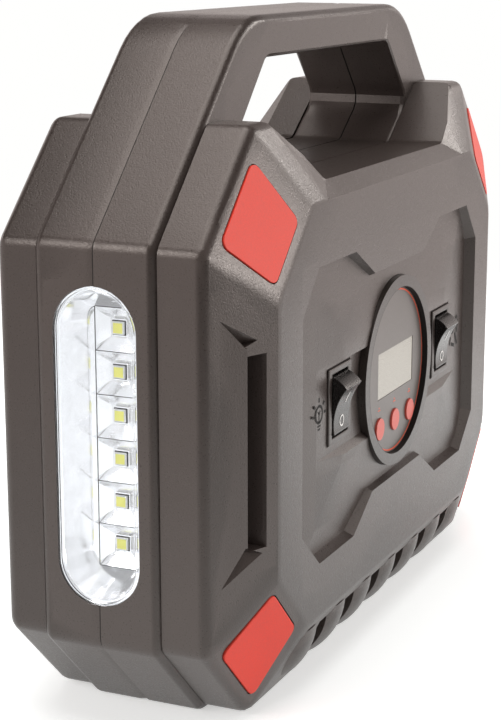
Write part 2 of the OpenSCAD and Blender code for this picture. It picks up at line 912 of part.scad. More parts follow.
// air compressor on a bracket
bracket_y = rear_y - 8;
bracket_t = 2;
pump_y = bracket_y - 27;
pump_z = 155;
module pump_bracket() {
    color([0.6, 0.6, 0.62])
        box([-56, bracket_y - bracket_t, 120], [70, bracket_y, 190]);
}
module pump_body() {
    color([0.62, 0.63, 0.65]) {
        box([-44, pump_y - 16, pump_z - 20], [-12, bracket_y - bracket_t, pump_z + 20]);
        translate([-28, pump_y, pump_z + 15])
            cylinder(h = 22, r = 13, $fn = 48);
    }
}
module pump_motor() {
    color([0.5, 0.5, 0.52]) {
        translate([-12, pump_y, pump_z])
            rotate([0, 90, 0])
                cylinder(h = 62, r = 19, $fn = 64);
        box([0, pump_y, pump_z - 12], [40, bracket_y - bracket_t, pump_z + 12]);
    }
}
hose_in = rear_y - 13;
module hose_fitting() {
    color([0.75, 0.6, 0.3]) {
        rod(hose_x, hose_z, hose_in, rear_reach - 4, 5.9, 32);
        rod(hose_x, hose_z, rear_y, rear_y + 2.5, 8, 6);
        rod(hose_x, hose_z, rear_y, rear_reach, 3.2, 32);
    }
}
module pump_pipe() {
    color([0.2, 0.2, 0.2]) {
        box([hose_x - 3, pump_y - 3, hose_z - 3], [-44, pump_y + 3, hose_z + 3]);
        box([hose_x - 3, pump_y, hose_z - 3], [hose_x + 3, hose_in, hose_z + 3]);
    }
}

// rubber glands where the two booster leads leave the case
module lead_glands() {
    color([0.06, 0.06, 0.06])
        for (s = [-1, 1]) {
            rod(s * gland_x, gland_z, rear_y - 5, rear_reach, gland_r, 32);
            rod(s * gland_x, gland_z, rear_y, rear_y + 3, gland_r + 3, 32);
        }
}

// outlets in the right side
socket_z = 138;
socket_r = 10.7;
jack_z = 90;
module port_panel() {
    color([0.1, 0.1, 0.1])
        difference() {
            union() {
                box([half_w - band_wall, -panel_w, panel_z0], [panel_x + 1, panel_w, panel_z1]);
                box([half_w - band_wall - 2, -panel_w - flange, panel_z0 - flange], [half_w - band_wall, panel_w + flange, panel_z1 + flange]);
            }
            translate([half_w - 20, 0, socket_z])
                rotate([0, 90, 0])
                    cylinder(h = 30, r = 13, $fn = 48);
            translate([half_w - 20, 0, jack_z])
                rotate([0, 90, 0])
                    cylinder(h = 30, r = 6, $fn = 32);
        }
}
module outlet_socket() {
    color([0.55, 0.55, 0.57])
        difference() {
            union() {
                translate([panel_x - 40, 0, socket_z])
                    rotate([0, 90, 0])
                        cylinder(h = 41, r = 12.9, $fn = 48);
                translate([panel_x - 5, 0, socket_z])
                    rotate([0, 90, 0])
                        cylinder(h = 2, r = 15.5, $fn = 48);
            }
            translate([panel_x - 38, 0, socket_z])
                rotate([0, 90, 0])
                    cylinder(h = 40, r = socket_r, $fn = 64);
        }
}
module charge_jack() {
    color([0.12, 0.12, 0.12]) {
        difference() {
            union() {
                translate([panel_x - 14, 0, jack_z])
                    rotate([0, 90, 0])
                        cylinder(h = 15, r = 5.9, $fn = 32);
                translate([panel_x - 5, 0, jack_z])
                    rotate([0, 90, 0])
                        cylinder(h = 2, r = 8, $fn = 32);
            }
            translate([panel_x - 10, 0, jack_z])
                rotate([0, 90, 0])
                    cylinder(h = 12, r = 2.8, $fn = 32);
        }
        translate([panel_x - 11, 0, jack_z])
            rotate([0, 90, 0])
                cylinder(h = 10, r = 1, $fn = 24);
    }
}

front_band();
rear_band();
front_cover();
rear_cover();
case_bolts();
insert_upper_left();
insert_upper_right();
insert_lower_left();
insert_lower_right();
lamp_lens();
lamp_reflector();
lamp_board();
lamp_leds();
display_bezel();
display_disc();
display_lcd();
display_board();
button_switches();
button_left();
button_middle();
button_right();
lamp_switch_body();
lamp_rocker();
compressor_switch_body();
compressor_rocker();
switch_blades();
battery_tray();
battery();
battery_strap();
battery_terminals();
main_board();
board_parts();
pump_bracket();
pump_body();
pump_motor();
pump_pipe();
hose_fitting();
lead_glands();
port_panel();
outlet_socket();
charge_jack();
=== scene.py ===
import json
import math

import bmesh
import bpy
from mathutils import Matrix, Vector


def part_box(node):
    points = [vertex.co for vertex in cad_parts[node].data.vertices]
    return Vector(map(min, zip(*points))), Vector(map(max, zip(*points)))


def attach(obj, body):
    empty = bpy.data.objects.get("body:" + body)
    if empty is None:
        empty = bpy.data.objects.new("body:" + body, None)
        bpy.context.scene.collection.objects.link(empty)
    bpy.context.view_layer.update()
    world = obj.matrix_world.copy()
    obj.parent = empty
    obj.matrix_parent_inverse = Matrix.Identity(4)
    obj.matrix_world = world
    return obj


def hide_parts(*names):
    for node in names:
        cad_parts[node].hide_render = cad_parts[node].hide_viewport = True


# The looks of a jump starter pack with a work lamp, a display and two rocker switches.
# The front looks towards -Y and the lamp is on the -X side.
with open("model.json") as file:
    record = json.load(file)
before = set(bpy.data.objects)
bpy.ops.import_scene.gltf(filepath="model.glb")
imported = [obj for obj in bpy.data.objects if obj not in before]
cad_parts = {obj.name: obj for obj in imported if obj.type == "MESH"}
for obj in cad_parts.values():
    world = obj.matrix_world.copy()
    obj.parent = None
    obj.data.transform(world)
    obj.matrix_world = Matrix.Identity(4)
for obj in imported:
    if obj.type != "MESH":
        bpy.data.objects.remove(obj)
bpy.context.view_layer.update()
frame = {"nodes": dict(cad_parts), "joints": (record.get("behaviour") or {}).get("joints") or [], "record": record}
scene = bpy.context.scene
cad_nodes = frame["nodes"]
slots = {part["node"]: part["material_slot"] for part in frame["record"]["subparts"]}
pivots = {joint["child"]: joint.get("pos_m") for joint in frame["joints"]}

# Lengths are in millimetres, and MM turns them into Blender's metres.
MM = 0.001


def reach(node):
    """The lowest and the highest corner of a CAD node, in millimetres."""
    return [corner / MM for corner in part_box(node)]


def middle(node):
    """The middle of a CAD node's box, in millimetres."""
    low, high = reach(node)
    return (low + high) / 2


# ---------------------------------------------------------------- sizes
# the notch under the handle: half width and height of its floor, and a point higher up its side wall
HAND_W, HAND_Z = 73.5, 211
HAND_WIDE, HAND_WIDE_Z = 98.5, 229

# the display: height of its middle, inner radius of its ring, front of its disc
DISPLAY_Z = middle("display_disc").z
DISPLAY_BORE = 37.8
DISC_Y = reach("display_disc")[0].y

# the lamp: front and back of its window, front of its board, and the row of diodes
LENS_X, RIM_X = (corner.x for corner in reach("lamp_lens"))
BOARD_X = reach("lamp_board")[0].x
LAMP_Z0, LAMP_Z1 = 55.2, 180.4
LAMP_MID = (LAMP_Z0 + LAMP_Z1) / 2
LED_COUNT, LED_PITCH, LED_HALF = 6, 17.3, 2.5
LED_Z = [LAMP_MID + (i - (LED_COUNT - 1) / 2) * LED_PITCH for i in range(LED_COUNT)]

# the rockers: radius of the hollow front, its distance from the pins, and the tilt at rest
HOLLOW_R, HOLLOW_OUT, ROCKER_TILT = 24.9, 6.0, 15

# the plates beside the switches, which carry the signs, and the thickness of the ink
PLATE_Y = -56.0
INK = 0.06


# ---------------------------------------------------------------- camera
# the size of the frame, the focal length and the point that the lens's axis meets, in pixels
FRAME_W, FRAME_H = 501, 720
FOCAL_PIXELS = 1775.8
AXIS_PIXEL = (295.2, 344.4)
# where the camera stands and how it is turned, in degrees
AZIMUTH, ELEVATION, ROLL = -66.84, 12.71, 0.23
CAMERA_AT = (-734.0, -322.3, 304.2)
SENSOR = 36


def camera():
    """The camera, turned by its azimuth, elevation and roll, with a shifted lens."""
    azimuth, elevation, roll = (math.radians(a) for a in (AZIMUTH, ELEVATION, ROLL))
    level = math.cos(elevation)
    back = Vector((math.sin(azimuth) * level, -math.cos(azimuth) * level, math.sin(elevation)))
    right = (-back).cross(Vector((0, 0, 1))).normalized()
    up = right.cross(-back)
    rolled_right = right * math.cos(roll) + up * math.sin(roll)
    rolled_up = -right * math.sin(roll) + up * math.cos(roll)
    cam = bpy.data.cameras.new("view")
    cam.lens = FOCAL_PIXELS / FRAME_H * SENSOR
    cam.shift_x = (FRAME_W / 2 - AXIS_PIXEL[0]) / FRAME_H
    cam.shift_y = (AXIS_PIXEL[1] - FRAME_H / 2) / FRAME_H
    cam.clip_start, cam.clip_end = 0.05, 20
    ob = bpy.data.objects.new("view", cam)
    stand = Matrix((rolled_right, rolled_up, back)).transposed().to_4x4()
    stand.translation = Vector(CAMERA_AT) * MM
    ob.matrix_world = stand
    scene.collection.objects.link(ob)
    scene.camera = ob


camera()


# ---------------------------------------------------------------- node helpers
# the colour sockets of a Mix node
MIX_FACTOR, MIX_A, MIX_B, MIX_RESULT = 0, 6, 7, 2


class Nodes:
    """Short ways to build the node tree of a material or of the world."""

    def __init__(self, owner):
        owner.use_nodes = True
        self.tree = owner.node_tree

    def add(self, kind, **props):
        node = self.tree.nodes.new(kind)
        for key, value in props.items():
            setattr(node, key, value)
        return node

    def feed(self, value, socket):
        """Link an output to a socket, or give the socket a number, a vector or a colour."""
        if isinstance(value, bpy.types.NodeSocket):
            self.tree.links.new(value, socket)
        elif socket.type == "RGBA":
            socket.default_value = (*value, 1)
        else:
            socket.default_value = value

    def calc(self, kind, operation, *values, out="Value"):
        """A Math or VectorMath node over these values."""
        node = self.add(kind, operation=operation)
        for value, socket in zip(values, node.inputs):
            self.feed(value, socket)
        return node.outputs[out]

    def axis(self, vector, letter):
        """One coordinate of a vector."""
        node = self.add("ShaderNodeSeparateXYZ")
        self.feed(vector, node.inputs[0])
        return node.outputs[letter]

    def ramp(self, value, low, high, at_low=0.0, at_high=1.0, **props):
        """at_low up to low, at_high from high on, and a slope between them."""
        node = self.add("ShaderNodeMapRange", **props)
        ends = {"From Min": low, "From Max": high, "To Min": at_low, "To Max": at_high, "Value": value}
        for name, end in ends.items():
            self.feed(end, node.inputs[name])
        return node.outputs["Result"]

    def mix(self, factor, a, b):
        node = self.add("ShaderNodeMix", data_type="RGBA")
        for value, place in ((factor, MIX_FACTOR), (a, MIX_A), (b, MIX_B)):
            self.feed(value, node.inputs[place])
        return node.outputs[MIX_RESULT]

    def seen(self, *rays):
        """1 for the camera's rays and for these rays too, 0 for the rest."""
        path = self.add("ShaderNodeLightPath")
        shown = path.outputs["Is Camera Ray"]
        for ray in rays:
            shown = self.calc("ShaderNodeMath", "MAXIMUM", shown, path.outputs[ray])
        return shown


class Finish(Nodes):
    """The nodes of a new material, on the piece's own coordinates."""

    def __init__(self, name):
        self.material = bpy.data.materials.new(name)
        super().__init__(self.material)
        self.sockets = self.tree.nodes["Principled BSDF"].inputs
        self.place = self.add("ShaderNodeTexCoord").outputs["Object"]

    def give(self, **values):
        """Feed the shader's sockets, named with an underscore for each space."""
        for name, value in values.items():
            self.feed(value, self.sockets[name.replace("_", " ")])

    def noise(self, scale, detail=3.0, roughness=0.55, place=None):
        node = self.add("ShaderNodeTexNoise")
        for name, value in (("Scale", scale), ("Detail", detail), ("Roughness", roughness)):
            self.feed(value, node.inputs[name])
        self.feed(place or self.place, node.inputs["Vector"])
        return node.outputs["Fac"]

    def bump(self, height, strength, depth, under=None):
        """A relief, depth in millimetres, on top of the relief under it."""
        node = self.add("ShaderNodeBump")
        self.feed(height, node.inputs["Height"])
        self.feed(strength, node.inputs["Strength"])
        self.feed(depth * MM, node.inputs["Distance"])
        if under is not None:
            self.feed(under, node.inputs["Normal"])
        return node.outputs["Normal"]


# ---------------------------------------------------------------- finishes
# the colour of the painted shadow in deep gaps
SHADOW = (0.002, 0.002, 0.002)
WARM_SHEEN = (1.0, 0.935, 0.895)
GRAIN_DEPTH = 0.08
# the wider waves under the grain: depth, and scale and strength as shares of the grain's own
WAVE_DEPTH, WAVE_SCALE, WAVE_STRENGTH = 0.12, 0.32, 0.2


def tinted(colour, factor, lift=0.0):
    """The colour made lighter or darker."""
    return tuple(min(1, c * factor + lift) for c in colour)


def seam_shadow(finish):
    """0 on the joint between the two halves of the case, at y = 0, and 1 beside it; the joint gets a painted
    shadow.
    """
    inner, outer = 0.30, 0.42
    off = finish.calc("ShaderNodeMath", "ABSOLUTE", finish.axis(finish.place, "Y"))
    return finish.ramp(off, inner * MM, outer * MM)


def bore_shadow(finish):
    """0 on the wall of the display ring's opening, and 1 on the rest of the ring; the wall gets a painted shadow.
    """
    inner, outer = DISPLAY_BORE + 0.1, DISPLAY_BORE + 0.25
    kind = "ShaderNodeVectorMath"
    from_middle = finish.calc(kind, "SUBTRACT", finish.place, (0, 0, DISPLAY_Z * MM), out="Vector")
    across = finish.calc(kind, "MULTIPLY", from_middle, (1, 0, 1), out="Vector")
    return finish.ramp(finish.calc(kind, "LENGTH", across), inner * MM, outer * MM)


def plastic(name, colour, rough=0.5, grain=0.5, scale=1400, spread=0.12, shine=0.5, edge_highlight=0.25, shadow_mask=None):
    """Moulded plastic: spark-eroded grain, faint clouds, and a painted highlight that makes the edges paler.

    spread is how far the clouds stray from the colour, rubbed how pale the painted highlight on the edges is, and
    lit a mask that is 0 in a deep gap, where the colour becomes a painted shadow.
    """
    finish = Finish(name)
    cloud = finish.noise(scale=14, detail=4)
    fine = finish.noise(scale, detail=2, roughness=0.6)
    cloud = finish.ramp(cloud, 0.35, 0.65)
    shade = finish.mix(cloud, tinted(colour, 1 - spread), tinted(colour, 1 + spread))
    pale_grain = finish.ramp(fine, 0.35, 0.7, at_high=0.35)
    shade = finish.mix(pale_grain, shade, tinted(colour, 1.35, lift=0.01))
    # paler colour where the surface is pointed: a painted highlight on the edges
    if edge_highlight:
        edge = finish.add("ShaderNodeNewGeometry").outputs["Pointiness"]
        highlit_edges = finish.ramp(edge, 0.52, 0.62, at_high=edge_highlight)
        shade = finish.mix(highlit_edges, shade, tinted(colour, 2.2, lift=0.03))
    dull = finish.ramp(fine, 0.3, 0.7, rough - 0.06, rough + 0.08)
    # painted shadow in a gap: the shadow colour, and no reflection
    if shadow_mask:
        mask = shadow_mask(finish)
        shade = finish.mix(mask, SHADOW, shade)
        gap = finish.ramp(mask, 0.0, 1.0, at_low=1.0, at_high=0.0)
        dull = finish.calc("ShaderNodeMath", "MAXIMUM", dull, gap)
    waves = finish.bump(finish.noise(scale * WAVE_SCALE, detail=2), grain * WAVE_STRENGTH, WAVE_DEPTH)
    relief = finish.bump(fine, grain, GRAIN_DEPTH, waves)
    finish.give(Base_Color=shade, Roughness=dull, Normal=relief, Specular_IOR_Level=shine,
                Specular_Tint=WARM_SHEEN)
    return finish.material


def metal(name, colour, rough=0.3, brushed=(1, 1, 30), scale=160, **sockets):
    """Metal with fine streaks, which are narrow along the axis where brushed is large."""
    finish = Finish(name)
    stretch = finish.add("ShaderNodeMapping")
    finish.feed(brushed, stretch.inputs["Scale"])
    finish.feed(finish.place, stretch.inputs["Vector"])
    streak = finish.noise(scale, detail=4, roughness=0.6, place=stretch.outputs["Vector"])
    shade = finish.mix(finish.ramp(streak, 0.3, 0.7), tinted(colour, 0.85), colour)
    dull = finish.ramp(streak, 0.3, 0.7, rough - 0.08, rough + 0.1)
    relief = finish.bump(streak, strength=0.15, depth=0.05)
    finish.give(Base_Color=shade, Roughness=dull, Metallic=1.0, Normal=relief)
    finish.give(**sockets)
    return finish.material


def clear(name, colour, cloudy_colour):
    """Clear plastic with a faint unevenness."""
    finish = Finish(name)
    shade = finish.mix(finish.noise(scale=60), colour, cloudy_colour)
    dull = finish.ramp(finish.noise(scale=900), 0.3, 0.7, at_high=0.05)
    finish.give(Base_Color=shade, Roughness=dull, Transmission_Weight=1.0, IOR=1.3)
    return finish.material


EVEN = (1, 1, 1)
# lit gives the seam of the housing and the opening of the ring a painted shadow, and rubbed gives the edges a
# painted highlight
finishes = {
    "housing_plastic": plastic("housing", (0.025, 0.0178, 0.0155), rough=0.32, grain=1.1, shine=0.68,
                               edge_highlight=0.4, shadow_mask=seam_shadow),
    "red_insert": plastic("red", (0.74, 0.050, 0.030), rough=0.46, grain=0.25, scale=1600, spread=0.05,
                          shine=0.3, edge_highlight=0.1),
    "button_red": plastic("red_button", (0.62, 0.085, 0.06), rough=0.38, grain=0.12, scale=1600,
                          spread=0.05, edge_highlight=0.1),
    "display_ring": plastic("ring", (0.022, 0.017, 0.015), rough=0.32, grain=0.35, shine=0.6,
                            shadow_mask=bore_shadow),
    "display_grey": plastic("disc", (0.105, 0.092, 0.086), rough=0.34, grain=0.12, scale=2000, spread=0.04,
                            edge_highlight=0),
    "lcd_pale": plastic("lcd", (0.40, 0.385, 0.34), rough=0.25, grain=0.05, scale=3000, spread=0.03,
                        edge_highlight=0),
    "board_white": plastic("white_board", (0.82, 0.82, 0.80), rough=0.35, grain=0.1, scale=900, spread=0.03,
                           edge_highlight=0),
    "led_phosphor": plastic("phosphor", (0.93, 0.90, 0.22), rough=0.4, grain=0.2, scale=2500, spread=0.06,
                            edge_highlight=0),
    "circuit_green": plastic("circuit", (0.02, 0.16, 0.07), rough=0.35, grain=0.3, scale=500, spread=0.2),
    "black_parts": plastic("black", (0.02, 0.02, 0.02), grain=0.3),
    "switch_black": plastic("switch", (0.005, 0.0045, 0.0045), rough=0.24, grain=0.10, scale=1600,
                            edge_highlight=0.1),
    "switch_frame": plastic("switch_frame", (0.024, 0.0175, 0.0155), rough=0.32, grain=0.3, shine=0.66,
                            edge_highlight=0.15),
    "battery_case": plastic("battery", (0.04, 0.04, 0.05), rough=0.45, grain=0.3),
    "rubber_black": plastic("rubber", (0.02, 0.02, 0.02), rough=0.7, grain=0.6),
    "bright_metal": metal("zinc", (0.66, 0.66, 0.68), rough=0.34),
    "pump_metal": metal("cast", (0.55, 0.56, 0.58), rough=0.45, brushed=EVEN, scale=400),
    "brass_fitting": metal("brass", (0.80, 0.58, 0.26), rough=0.28),
    # plated plastic, with a weak glow for the light that the cups throw back and forth
    "reflector_chrome": metal("chrome", (0.97, 0.97, 0.98), rough=0.14, brushed=EVEN, scale=60,
                              Metallic=0.96, Emission_Color=(1.0, 1.0, 1.0), Emission_Strength=0.08),
    "clear_lens": clear("clear_lens", (0.97, 0.98, 1.0), (0.93, 0.95, 0.97)),
    "print_white": plastic("print_white", (0.80, 0.80, 0.78), rough=0.4, grain=0.05, edge_highlight=0),
    "print_black": plastic("print_black", (0.006, 0.006, 0.006), rough=0.6, grain=0.05, shine=0.2,
                           edge_highlight=0),
    "print_orange": plastic("print_orange", (0.75, 0.10, 0.04), rough=0.4, grain=0.05, shine=0.3,
                            edge_highlight=0),
}

# every CAD node gets its slot's finish; the ones that no other piece replaces are shown as they are
for name, ob in cad_nodes.items():
    ob.data.materials.clear()
    ob.data.materials.append(finishes[slots[name]])


# ---------------------------------------------------------------- moulded pieces with eased edges
def cut_across_holes(bm):
    """Cut the piece across its holes, so that its flat faces can be merged round them."""
    offset = 1.7
    for axis, step in ((0, 22), (2, 23)):
        low, high = min(v.co[axis] for v in bm.verts), max(v.co[axis] for v in bm.verts)
        across = Vector((axis == 0, 0, axis == 2))
        count = math.ceil((low / MM + offset) / step)
        while (count * step - offset) * MM < high:
            cut = bmesh.ops.bisect_plane(bm, geom=bm.verts[:] + bm.edges[:] + bm.faces[:], dist=1e-7,
                                         plane_co=across * (count * step - offset) * MM, plane_no=across)
            for piece in cut["geom_cut"]:
                if isinstance(piece, bmesh.types.BMEdge):
                    piece.seam = True
            count += 1


def extend_notch_floor(bm):
    """Carry the floor of the notch forward, so that it turns down close to the front face."""
    corner_y, forward, near = -43.5, Vector((0, -9, 0.5)), 0.3
    for side in (-1, 1):
        corner = Vector((side * HAND_W, corner_y, HAND_Z)) * MM
        for v in bm.verts:
            if (v.co - corner).length < near * MM:
                v.co += forward * MM


def round_notch_feet(bm):
    """Let the front edge of each side wall of the notch follow the slope, and round the wall's foot."""
    wall_slope = (HAND_WIDE_Z - HAND_Z) / (HAND_WIDE - HAND_W)
    first_x, last_x, front_y = HAND_W + 1, 109, -43
    slope_y, slope_z, slope = -44.4, 234.7, 0.46
    near_x, near_z, radius, shortest = 0.3, 0.7, 2.2, 2
    for v in bm.verts:
        x, z = abs(v.co.x) / MM, v.co.z / MM
        on_wall = abs(z - HAND_Z - (x - HAND_W) * wall_slope) < near_z
        if first_x < x < last_x and on_wall and v.co.y < front_y * MM:
            v.co.y = (slope_y - (slope_z - z) * slope) * MM
    foot = []
    for edge in bm.edges:
        ends = [(abs(v.co.x) / MM, v.co.z / MM) for v in edge.verts]
        at_foot = all(abs(x - HAND_W) < near_x and abs(z - HAND_Z) < near_z for x, z in ends)
        if at_foot and edge.calc_length() > shortest * MM:
            foot.append(edge)
    bmesh.ops.bevel(bm, geom=foot, offset=radius * MM, offset_type="OFFSET", segments=3, profile=0.5,
                    affect="EDGES", clamp_overlap=True, material=-1)


def finish_mesh(bm, me, slot, sharp):
    """Write the mesh smooth, in the slot's finish, with the edges over this angle kept sharp."""
    for face in bm.faces:
        face.smooth = True
    bm.to_mesh(me)
    bm.free()
    me.set_sharp_from_angle(angle=math.radians(sharp))
    me.materials.clear()
    me.materials.append(finishes[slot])


def eased(node, width, body="housing", before=(), after=()):
    """A copy of a CAD node with its edges eased, shown in its place.

    before and after are the changes of shape made before and after its flat faces are merged.
    """
    flat_angle, edge_angle = math.radians(0.5), math.radians(25)
    me = cad_nodes[node].data.copy()
    bm = bmesh.new()
    bm.from_mesh(me)
    bmesh.ops.remove_doubles(bm, verts=bm.verts, dist=1e-6)
    for change in before:
        change(bm)
    cut_across_holes(bm)
    bmesh.ops.dissolve_limit(bm, angle_limit=flat_angle, verts=bm.verts, edges=bm.edges, delimit={"SEAM"})
    for change in after:
        change(bm)
    edges = [e for e in bm.edges if len(e.link_faces) == 2 and e.calc_face_angle(0) > edge_angle]
    bmesh.ops.bevel(bm, geom=edges, offset=width * MM, offset_type="OFFSET", segments=2, profile=0.5,
                    affect="EDGES", clamp_overlap=True, material=-1)
    finish_mesh(bm, me, slots[node], 28)
    ob = bpy.data.objects.new("show_" + node, me)
    flat_first = ob.modifiers.new("flat_faces_first", "WEIGHTED_NORMAL")
    flat_first.keep_sharp = True
    flat_first.weight = 80
    scene.collection.objects.link(ob)
    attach(ob, body)
    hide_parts(node)


eased("front_band", 0.5)
eased("rear_band", 0.5)
eased("front_cover", 0.8, before=[extend_notch_floor], after=[round_notch_feet])
eased("rear_cover", 0.6, after=[round_notch_feet])
for node in ("insert_upper_left", "insert_upper_right", "insert_lower_left", "insert_lower_right"):
    eased(node, 0.5)
for node in ("lamp_switch_body", "compressor_switch_body"):
    eased(node, 0.6)
eased("display_bezel", 0.4)
for node in ("lamp_rocker", "compressor_rocker"):
    eased(node, 0.3, body=node)
for node in ("button_left", "button_middle", "button_right"):
    eased(node, 0.5, body=node)


# ---------------------------------------------------------------- new pieces
# turns that stand a flat shape upright, across the X axis or across the Y axis
ACROSS_X = Matrix.Rotation(math.pi / 2, 4, "Y")
ACROSS_Y = Matrix.Rotation(math.pi / 2, 4, "X")


def show(name, bm, slot, replaces=(), body="housing", sharp=35):
    """Put a new piece on its body, in the place of these CAD nodes."""
    bmesh.ops.recalc_face_normals(bm, faces=bm.faces)
    me = bpy.data.meshes.new(name)
    finish_mesh(bm, me, slot, sharp)
    ob = bpy.data.objects.new(name, me)
    scene.collection.objects.link(ob)
    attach(ob, body)
    if replaces:
        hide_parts(*replaces)


def moved(verts, x=0.0, y=0.0, z=0.0):
    """Shift these vertices, in millimetres."""
    for v in verts:
        v.co += Vector((x, y, z)) * MM


def inset(bm, face, thickness, **more):
    """Inset a face by this thickness, in millimetres; the face itself becomes the inner one."""
    bmesh.ops.inset_region(bm, faces=[face], thickness=thickness * MM, use_even_offset=True, **more)


def extrude_back(bm, face, depth):
    """Give an upright face a thickness, towards the inside of the case."""
    new = bmesh.ops.extrude_face_region(bm, geom=[face], use_keep_orig=True)["geom"]
    moved([v for v in new if isinstance(v, bmesh.types.BMVert)], x=depth)


# ---------------------------------------------------------------- the lamp
def pill(bm, half, play, x):
    """Upright face across X with round ends, of this half width, as high as the lamp less the play."""
    sides = 64
    turn = ACROSS_X @ Matrix.Rotation(math.pi / sides, 4, "Z")
    made = bmesh.ops.create_circle(bm, cap_ends=True, segments=sides, radius=half * MM, matrix=turn)
    verts = made["verts"]
    upper = [v for v in verts if v.co.z > 0]
    moved(upper, z=LAMP_Z1 - play - half)
    moved([v for v in verts if v not in upper], z=LAMP_Z0 + play + half)
    moved(verts, x=x)
    return verts[0].link_faces[0]


def panel(bm, x, y, z, half_w, half_h):
    """Upright rectangle across X, of these half sizes."""
    verts = bmesh.ops.create_grid(bm, x_segments=1, y_segments=1, size=MM, matrix=ACROSS_X)["verts"]
    bmesh.ops.scale(bm, vec=(1, half_w, half_h), verts=verts)
    moved(verts, x, y, z)
    return verts[0].link_faces[0]


def window():
    """The clear cover: a rounded rim round a sunk, flat middle."""
    half, play, rim, sunk, radius = 17.5, 0.2, 2.3, 1.3, 0.8
    bm = bmesh.new()
    extrude_back(bm, pill(bm, half, play, LENS_X), RIM_X - LENS_X)
    ends = [f for f in bm.faces if len(f.verts) > 4]
    front = min(ends, key=lambda f: f.calc_center_median().x)
    bmesh.ops.recalc_face_normals(bm, faces=bm.faces)
    inset(bm, front, rim)
    moved(front.verts, x=sunk)
    outer = [e for e in bm.edges if all(abs(v.co.x - LENS_X * MM) < 1e-6 for v in e.verts)]
    bmesh.ops.bevel(bm, geom=outer, offset=radius * MM, segments=4, profile=0.5, affect="EDGES",
                    material=-1, clamp_overlap=True)
    show("lamp_window", bm, "clear_lens", ("lamp_lens",))


# the cups' open edge lies this far in front of the board
CUP_FRONT = 4.2


def reflector():
    """A plated trough with a flat rim and two slopes, and a four-sided cup round each diode."""
    half, play, behind_window = 17.3, 0.4, 0.05
    rim, upper_slope, lower_slope = (1.2, 0), (2.6, 7), (4.6, 10.8)
    cup_half, cup_wall, cup_depth, hole_half = 10.6, 4, 3.9, 3.5
    bm = bmesh.new()
    trough = pill(bm, half, play, RIM_X + behind_window)
    for wide, deep in (rim, upper_slope, lower_slope):
        inset(bm, trough, wide, use_boundary=True)
        moved(trough.verts, x=deep)
    for z in LED_Z:
        cup = panel(bm, BOARD_X - CUP_FRONT, 0, z, cup_half, LED_PITCH / 2)
        inset(bm, cup, cup_wall, use_boundary=True)
        centre = cup.calc_center_median()
        for v in cup.verts:
            v.co.y = centre.y + math.copysign(hole_half * MM, v.co.y - centre.y)
            v.co.z = centre.z + math.copysign(hole_half * MM, v.co.z - centre.z)
        moved(cup.verts, x=cup_depth)
        bmesh.ops.delete(bm, geom=[cup], context="FACES")
    show("lamp_mirror", bm, "reflector_chrome", ("lamp_reflector",), sharp=12)


def diodes():
    """White packages with a yellow window, each on a dark pad of the board."""
    top, thick, rounded = 1.4, 1.2, 0.15
    window_out, window_half = 1.45, 2.0
    pad_out, pad_half = 0.25, 2.95
    bodies, dots, pads = bmesh.new(), bmesh.new(), bmesh.new()
    for z in LED_Z:
        panel(pads, BOARD_X - pad_out, 0, z, pad_half, pad_half)
        extrude_back(bodies, panel(bodies, BOARD_X - top, 0, z, LED_HALF, LED_HALF), thick)
        panel(dots, BOARD_X - window_out, 0, z, window_half, window_half)
    bmesh.ops.bevel(bodies, geom=bodies.edges[:], offset=rounded * MM, segments=1, profile=0.5,
                    affect="EDGES", material=-1)
    show("diode_bodies", bodies, "board_white", ("lamp_leds",))
    show("diode_phosphor", dots, "led_phosphor")
    show("diode_pads", pads, "black_parts")


def cup_crease_shade():
    """Black strips of painted shade on the creases between the cups and along their rear side."""
    in_front, half, line_half, side_half = 0.15, 8.2, 0.16, 0.2
    x = BOARD_X - CUP_FRONT - in_front
    bm = bmesh.new()
    for i in range(LED_COUNT + 1):
        panel(bm, x, 0, LAMP_MID + (i - LED_COUNT / 2) * LED_PITCH, half, line_half)
    panel(bm, x, half, LAMP_MID, side_half, LED_COUNT / 2 * LED_PITCH)
    show("cup_crease_shade", bm, "black_parts")


window()
reflector()
diodes()
cup_crease_shade()


# ---------------------------------------------------------------- printed marks
def ring(bm, radius, stroke, sides=40):
    """Flat ring across Y, with its radius to the middle of the stroke."""
    outer = bmesh.ops.create_circle(bm, cap_ends=True, segments=sides, radius=(radius + stroke / 2) * MM,
                                    matrix=ACROSS_Y)["verts"]
    face = outer[0].link_faces[0]
    inset(bm, face, stroke, use_boundary=True)
    inner = list(face.verts)
    bmesh.ops.delete(bm, geom=[face], context="FACES_ONLY")
    return outer + inner


def bar(bm, x, z, w, h, turn=0.0):
    """Flat bar across Y, turned about its middle, with six steps so that it can follow a curve."""
    verts = bmesh.ops.create_grid(bm, x_segments=1, y_segments=6, size=0.5 * MM, matrix=ACROSS_Y)["verts"]
    bmesh.ops.scale(bm, vec=(w, 1, h), verts=verts)
    bmesh.ops.rotate(bm, verts=verts, cent=(0, 0, 0), matrix=Matrix.Rotation(math.radians(turn), 3, "Y"))
    moved(verts, x, 0, z)
    return verts


def rocker_marks(rocker):
    """0 and I, bent over the hollow front of a rocker and tilted with it."""
    ink = 2 * INK
    bm = bmesh.new()
    moved(ring(bm, radius=2.1, stroke=0.7), x=0.2, z=-6.0)
    bar(bm, x=0.7, z=4.5, w=0.95, h=5.0)
    for v in bm.verts:
        hollow = math.sqrt(HOLLOW_R ** 2 - (v.co.z / MM) ** 2) - HOLLOW_R
        v.co.y = (hollow - HOLLOW_OUT - ink) * MM
    tilt = Matrix.Rotation(math.radians(ROCKER_TILT), 3, "X")
    bmesh.ops.rotate(bm, verts=bm.verts, cent=(0, 0, 0), matrix=tilt)
    moved(bm.verts, *(at / MM for at in pivots[rocker]))
    show("marks_" + rocker, bm, "print_white", body=rocker)


